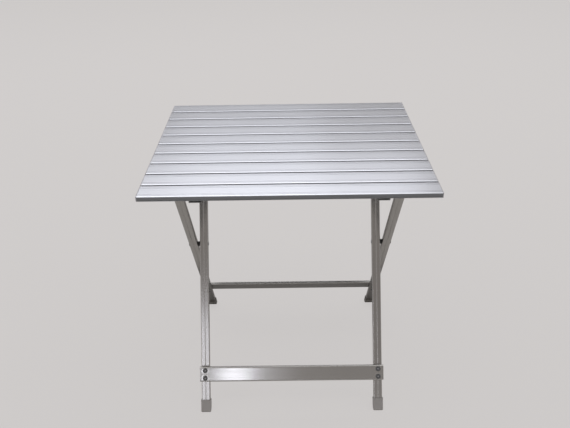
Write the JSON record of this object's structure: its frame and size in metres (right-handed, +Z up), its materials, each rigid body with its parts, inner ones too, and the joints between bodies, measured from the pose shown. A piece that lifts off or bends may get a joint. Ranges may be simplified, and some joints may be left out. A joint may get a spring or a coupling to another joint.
{
  "type": "folding table",
  "caption": "Folding table with a flat top of parallel aluminium slats on two crossed leg frames that close like scissors, with low crossbars and plastic foot caps.",
  "frame": {"origin": "On the floor below the middle of the top.", "axes": "+X to the user's right along the slats, +Y from the user to the back, +Z up."},
  "size_m": [0.66, 0.5454, 0.7],
  "materials": {
    "slat_aluminium": "satin anodised",
    "frame_aluminium": "satin anodised",
    "rivet_steel": "bright zinc plated",
    "dark_rivet_steel": "dark enamel",
    "bracket_steel": "zinc plated",
    "rod_steel": "zinc plated",
    "grey_plastic": "moulded, matte",
    "black_plastic": "moulded, matte"
  },
  "bodies": {
    "inner_frame": {"inner_leg_left": "frame_aluminium", "inner_leg_right": "frame_aluminium", "inner_leg_plugs": "grey_plastic", "front_crossbar": "frame_aluminium", "front_crossbar_rivets": "dark_rivet_steel", "front_rivet_mandrels": "rod_steel", "inner_foot_left": "grey_plastic", "inner_foot_right": "grey_plastic", "pivot_rivets": "rod_steel", "pivot_spacers": "black_plastic"},
    "outer_frame": {"outer_leg_left": "frame_aluminium", "outer_leg_right": "frame_aluminium", "outer_leg_plugs": "grey_plastic", "rear_crossbar": "frame_aluminium", "rear_crossbar_rivets": "dark_rivet_steel", "rear_rivet_mandrels": "rod_steel", "outer_foot_left": "grey_plastic", "outer_foot_right": "grey_plastic", "rest_rod": "rod_steel", "rest_rod_push_caps": "black_plastic"},
    "hinge_rod_body": {"hinge_rod": "rod_steel", "hinge_rod_push_caps": "black_plastic"},
    "tabletop": {"slat_01": "slat_aluminium", "slat_02": "slat_aluminium", "slat_03": "slat_aluminium", "slat_04": "slat_aluminium", "slat_05": "slat_aluminium", "slat_06": "slat_aluminium", "slat_07": "slat_aluminium", "slat_08": "slat_aluminium", "slat_09": "slat_aluminium", "slat_10": "slat_aluminium", "slat_end_caps_left": "grey_plastic", "slat_end_caps_right": "grey_plastic", "rail_left": "frame_aluminium", "rail_right": "frame_aluminium", "slat_rivets_left": "rivet_steel", "slat_rivets_right": "rivet_steel", "hinge_bracket_left": "bracket_steel", "hinge_bracket_right": "bracket_steel", "stop_bracket_left": "bracket_steel", "stop_bracket_right": "bracket_steel", "bracket_rivets": "rivet_steel"}
  },
  "joints": [
    {"name": "leg_fold", "type": "hinge", "parent": "inner_frame", "child": "outer_frame", "pos_m": [0, 0, 0.39895], "axis": [-1, 0, 0], "range_deg": [0, 57]},
    {"name": "top_level", "type": "hinge", "parent": "inner_frame", "child": "hinge_rod_body", "pos_m": [0, 0.15948, 0.6697], "axis": [-1, 0, 0], "range_deg": [0, 28.5]},
    {"name": "top_tilt", "type": "hinge", "parent": "hinge_rod_body", "child": "tabletop", "pos_m": [0, 0.15948, 0.6697], "axis": [-1, 0, 0], "range_deg": [0, 90]}
  ],
  "couplings": [
    {"joint": "top_level", "follows": "leg_fold", "ratio": 0.5}
  ]
}
